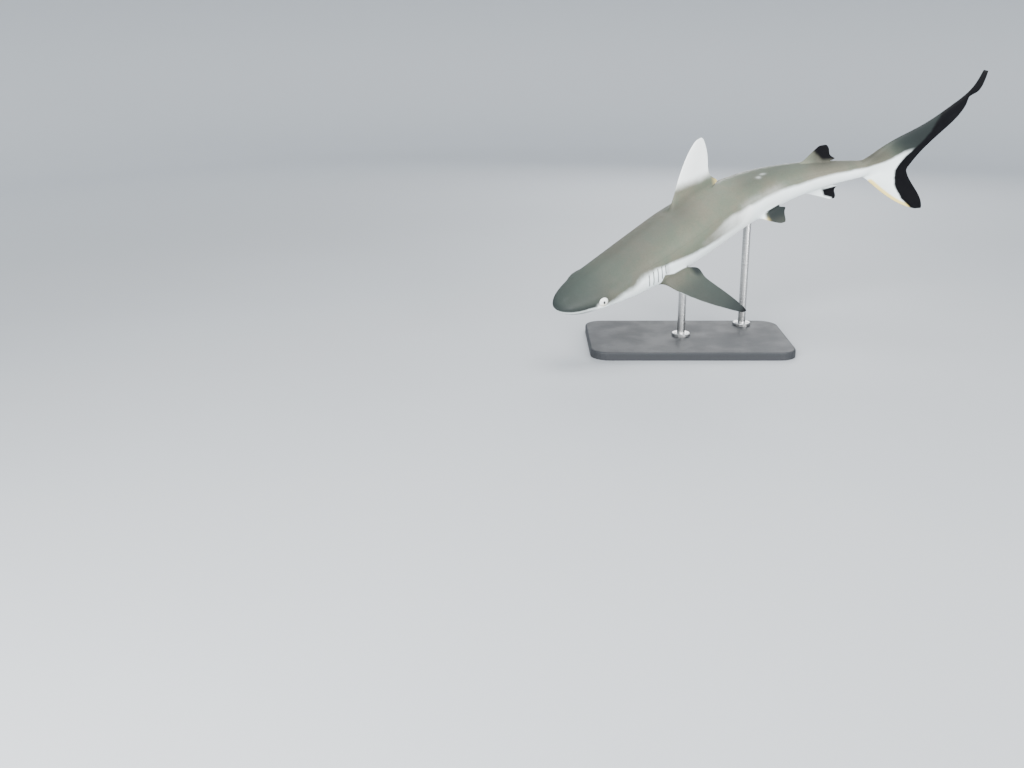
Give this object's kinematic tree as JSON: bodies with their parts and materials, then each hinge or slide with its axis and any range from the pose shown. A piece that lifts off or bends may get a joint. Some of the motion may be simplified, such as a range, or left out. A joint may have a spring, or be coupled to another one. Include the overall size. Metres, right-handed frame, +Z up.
{
  "type": "grey reef shark",
  "caption": "Life-size reef shark model, nose down and curving as it swims, with spread fins, held over a flat base on two slim rods.",
  "frame": {"origin": "middle of the underside of the stand's base, on the floor", "axes": "+X from the head towards the tail, +Z up; the animal's left side is towards -Y"},
  "size_m": [1.1557, 0.4787, 0.7494],
  "materials": {
    "skin": "satin skin, grey-brown above and white below",
    "dark_fin": "satin skin, near black",
    "pale_fin": "satin skin, white over a grey base",
    "eye": "glossy, pale with a small dark pupil",
    "stand_base": "satin dark paint",
    "stand_rod": "brushed"
  },
  "bodies": {
    "root": {"head": "skin", "lower_jaw": "skin", "gill_region": "skin", "trunk": "skin", "hips": "skin", "tail": "skin", "caudal_fin_upper_lobe": "skin", "caudal_fin_lower_lobe": "dark_fin", "first_dorsal_fin": "pale_fin", "second_dorsal_fin": "dark_fin", "anal_fin": "dark_fin", "pectoral_fin_left": "skin", "pectoral_fin_right": "skin", "pelvic_fin_left": "skin", "pelvic_fin_right": "skin", "eye_left": "eye", "eye_right": "eye", "stand_base": "stand_base", "stand_rod_front": "stand_rod", "stand_rod_rear": "stand_rod"}
  },
  "joints": []
}
